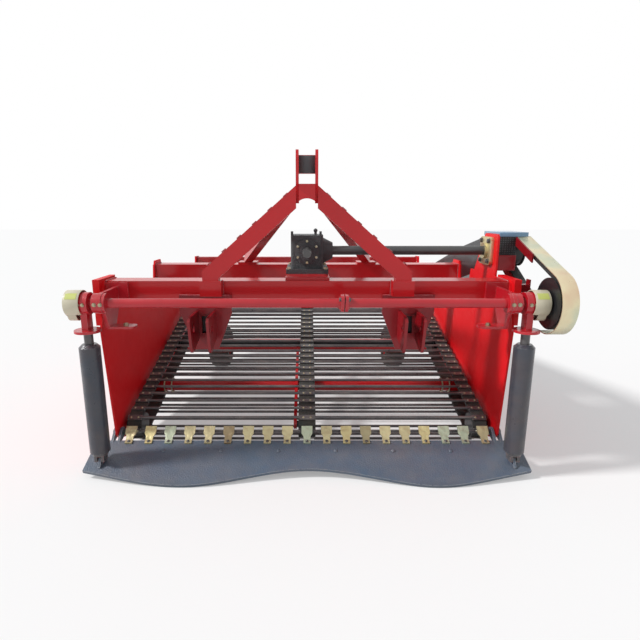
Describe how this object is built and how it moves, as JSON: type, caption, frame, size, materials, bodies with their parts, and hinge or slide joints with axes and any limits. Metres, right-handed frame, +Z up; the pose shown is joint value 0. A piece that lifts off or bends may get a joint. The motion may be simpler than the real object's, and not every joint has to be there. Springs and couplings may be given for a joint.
{
  "type": "potato digger",
  "caption": "Three-point-mounted potato digger: wavy share with fingers, inclined rod web between side plates, gearbox and belt drive, sleeved share legs, rear support wheels.",
  "frame": {"origin": "on the floor, under the middle of the machine's overall length and width; the machine's centre plane is at x = -0.0275", "axes": "+X to the right seen from the tractor, +Y back along the machine, +Z up"},
  "size_m": [1.86, 2.012, 1.2733],
  "materials": {
    "red_paint": "gloss red paint",
    "dark_red_paint": "gloss dark red paint",
    "black_paint": "gloss black paint",
    "gearbox_grey": "painted casting",
    "shaft_steel": "dark turned steel",
    "zinc": "yellow zinc plate",
    "guard_zinc": "yellow zinc plate",
    "cream_paint": "cream paint",
    "share_paint": "blue-grey paint",
    "sleeve_steel": "dark grey paint",
    "rod_steel": "plain rod steel",
    "web_rubber": "fabric-cored rubber belt",
    "belt_rubber": "ribbed drive belt",
    "tyre": "solid rubber tyre",
    "rim_paint": "red rim"
  },
  "bodies": {
    "chassis": {"side_plate_right": "red_paint", "side_plate_left": "red_paint", "front_beam": "red_paint", "middle_beam": "red_paint", "rear_beam": "red_paint", "lower_tube": "red_paint", "centre_arm": "red_paint", "mast_leg_right": "red_paint", "mast_leg_left": "red_paint", "mast_foot_right": "red_paint", "mast_foot_left": "red_paint", "mast_head": "red_paint", "mast_stay_right": "red_paint", "mast_stay_left": "red_paint", "link_bracket_right": "red_paint", "link_bracket_left": "red_paint", "gearbox_mount": "red_paint", "gearbox": "gearbox_grey", "cross_shaft_bearing": "zinc", "drive_belt": "belt_rubber", "belt_guard": "guard_zinc", "guard_frame": "dark_red_paint", "shaft_bearing_right": "red_paint", "shaft_bearing_left": "red_paint", "shaft_cover_right": "cream_paint", "shaft_cover_left": "cream_paint", "pivot_pin_right": "shaft_steel", "pivot_pin_left": "shaft_steel", "web_belts": "web_rubber", "web_rods": "rod_steel", "web_idlers": "black_paint", "web_carriers": "black_paint", "web_drive": "black_paint", "web_drive_bearing": "black_paint", "chain_case": "black_paint", "axle_tube": "red_paint"},
    "pto_shaft": {"pto_shaft": "shaft_steel"},
    "cross_shaft": {"cross_shaft": "shaft_steel", "upper_pulley": "black_paint"},
    "front_shaft": {"front_shaft": "red_paint", "lower_pulley": "black_paint"},
    "share": {"share": "share_paint", "share_fingers": "zinc"},
    "share_leg_right": {"share_leg_right": "red_paint"},
    "leg_sleeve_right": {"leg_sleeve_right": "sleeve_steel"},
    "wheel_right": {"wheel_tyre_right": "tyre", "wheel_rim_right": "rim_paint"},
    "share_leg_left": {"share_leg_left": "red_paint"},
    "leg_sleeve_left": {"leg_sleeve_left": "sleeve_steel"},
    "wheel_left": {"wheel_tyre_left": "tyre", "wheel_rim_left": "rim_paint"}
  },
  "joints": [
    {"name": "cross_shaft_turn", "type": "hinge", "parent": "chassis", "child": "cross_shaft", "pos_m": [-0.0275, -0.502, 0.88], "axis": [1, 0, 0], "continuous": true},
    {"name": "pto_turn", "type": "hinge", "parent": "chassis", "child": "pto_shaft", "pos_m": [-0.0275, -0.502, 0.88], "axis": [0, 1, 0], "continuous": true},
    {"name": "front_shaft_turn", "type": "hinge", "parent": "chassis", "child": "front_shaft", "pos_m": [-0.0275, -0.892, 0.712], "axis": [1, 0, 0], "continuous": true},
    {"name": "share_swing", "type": "hinge", "parent": "chassis", "child": "share", "pos_m": [-0.0275, -0.734, 0.112], "axis": [1, 0, 0], "range_deg": [0, 3]},
    {"name": "leg_swing_right", "type": "hinge", "parent": "chassis", "child": "share_leg_right", "pos_m": [0.8085, -0.892, 0.712], "axis": [1, 0, 0], "range_deg": [-1, 1]},
    {"name": "sleeve_turn_right", "type": "hinge", "parent": "share_leg_right", "child": "leg_sleeve_right", "pos_m": [0.8085, -0.892, 0.106], "axis": [0, 0, 1], "continuous": true},
    {"name": "wheel_turn_right", "type": "hinge", "parent": "chassis", "child": "wheel_right", "pos_m": [0.5685, 0.534, 0.14], "axis": [1, 0, 0], "continuous": true},
    {"name": "leg_swing_left", "type": "hinge", "parent": "chassis", "child": "share_leg_left", "pos_m": [-0.8635, -0.892, 0.712], "axis": [1, 0, 0], "range_deg": [-1, 1]},
    {"name": "sleeve_turn_left", "type": "hinge", "parent": "share_leg_left", "child": "leg_sleeve_left", "pos_m": [-0.8635, -0.892, 0.106], "axis": [0, 0, 1], "continuous": true},
    {"name": "wheel_turn_left", "type": "hinge", "parent": "chassis", "child": "wheel_left", "pos_m": [-0.6235, 0.534, 0.14], "axis": [1, 0, 0], "continuous": true}
  ],
  "couplings": [
    {"joint": "cross_shaft_turn", "follows": "front_shaft_turn", "ratio": 1.44},
    {"joint": "pto_turn", "follows": "front_shaft_turn", "ratio": 1.44}
  ]
}
